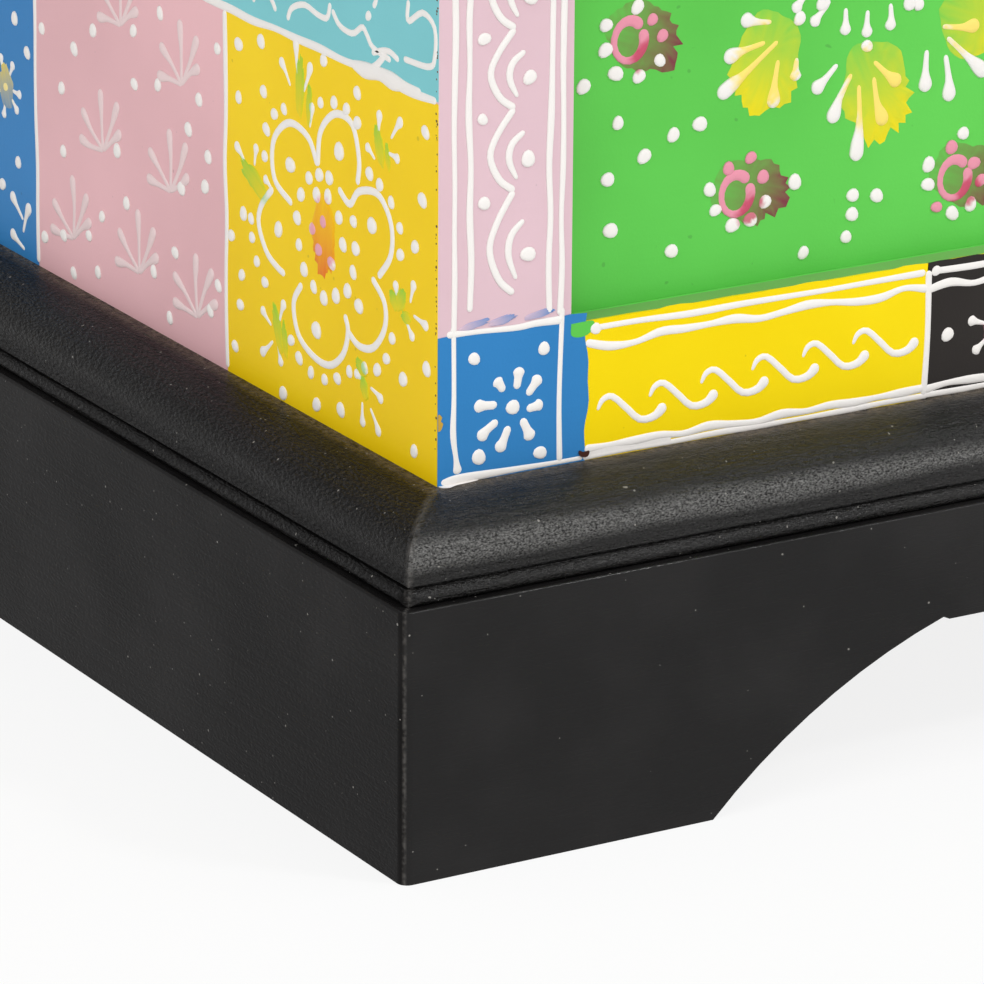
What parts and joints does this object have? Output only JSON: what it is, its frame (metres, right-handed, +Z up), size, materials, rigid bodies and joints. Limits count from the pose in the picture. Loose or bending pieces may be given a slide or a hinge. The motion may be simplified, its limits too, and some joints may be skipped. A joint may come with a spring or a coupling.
{
  "type": "wooden storage box",
  "caption": "Small wooden chest with a hinged lid, frame-and-panel front and back, and a moulded base with an arched apron, painted in a bright patchwork.",
  "frame": {"origin": "on the floor, under the middle of the chest", "axes": "+Z up, front at -Y, +X to the right when one looks at the front"},
  "size_m": [0.8, 0.4, 0.4],
  "materials": {
    "black_gloss_paint": "gloss paint on wood, brushed",
    "green_gloss_paint": "gloss paint on wood with raised cone-work",
    "pink_gloss_paint": "gloss paint on wood with raised cone-work",
    "yellow_gloss_paint": "gloss paint on wood with raised cone-work",
    "blue_gloss_paint": "gloss paint on wood with raised cone-work",
    "cyan_gloss_paint": "gloss paint on wood with raised cone-work",
    "white_cone_paint": "thick paint squeezed on in lines and dots",
    "plain_mango_wood": "planed, unfinished",
    "hinge_steel": "plated steel",
    "screw_steel": "plated steel"
  },
  "bodies": {
    "chest": {"back_muntin_1": "blue_gloss_paint", "back_muntin_2": "blue_gloss_paint", "back_panel_1": "green_gloss_paint", "back_panel_2": "pink_gloss_paint", "back_panel_3": "green_gloss_paint", "back_rail_bottom": "yellow_gloss_paint", "back_rail_top": "yellow_gloss_paint", "back_stile_left": "pink_gloss_paint", "back_stile_right": "pink_gloss_paint", "base_moulding_back": "black_gloss_paint", "base_moulding_front": "black_gloss_paint", "base_moulding_left": "black_gloss_paint", "base_moulding_right": "black_gloss_paint", "base_screws": "screw_steel", "block_screws": "screw_steel", "bottom_bearer_left": "plain_mango_wood", "bottom_bearer_right": "plain_mango_wood", "bottom_board": "plain_mango_wood", "corner_block_back_left": "plain_mango_wood", "corner_block_back_right": "plain_mango_wood", "corner_block_front_left": "plain_mango_wood", "corner_block_front_right": "plain_mango_wood", "corner_dowels": "plain_mango_wood", "front_muntin_1": "blue_gloss_paint", "front_muntin_2": "blue_gloss_paint", "front_panel_1": "green_gloss_paint", "front_panel_2": "pink_gloss_paint", "front_panel_3": "green_gloss_paint", "front_rail_bottom": "yellow_gloss_paint", "front_rail_top": "yellow_gloss_paint", "front_stile_left": "pink_gloss_paint", "front_stile_right": "pink_gloss_paint", "hinge_body_leaf_left": "hinge_steel", "hinge_body_leaf_right": "hinge_steel", "hinge_pin_left": "hinge_steel", "hinge_pin_right": "hinge_steel", "hinge_screws_body": "screw_steel", "plinth_back": "black_gloss_paint", "plinth_front": "black_gloss_paint", "plinth_left": "black_gloss_paint", "plinth_right": "black_gloss_paint", "side_board_left": "pink_gloss_paint", "side_board_right": "cyan_gloss_paint"},
    "lid": {"batten_screws": "screw_steel", "hinge_lid_leaf_left": "hinge_steel", "hinge_lid_leaf_right": "hinge_steel", "hinge_screws_lid": "screw_steel", "lid_batten_left": "plain_mango_wood", "lid_batten_right": "plain_mango_wood", "lid_board": "green_gloss_paint", "lid_moulding_back": "black_gloss_paint", "lid_moulding_front": "black_gloss_paint", "lid_moulding_left": "black_gloss_paint", "lid_moulding_right": "black_gloss_paint"}
  },
  "joints": [
    {"name": "lid_hinge", "type": "hinge", "parent": "chest", "child": "lid", "pos_m": [0, 0.1805, 0.376], "axis": [-1, 0, 0], "range_deg": [0, 100]}
  ]
}
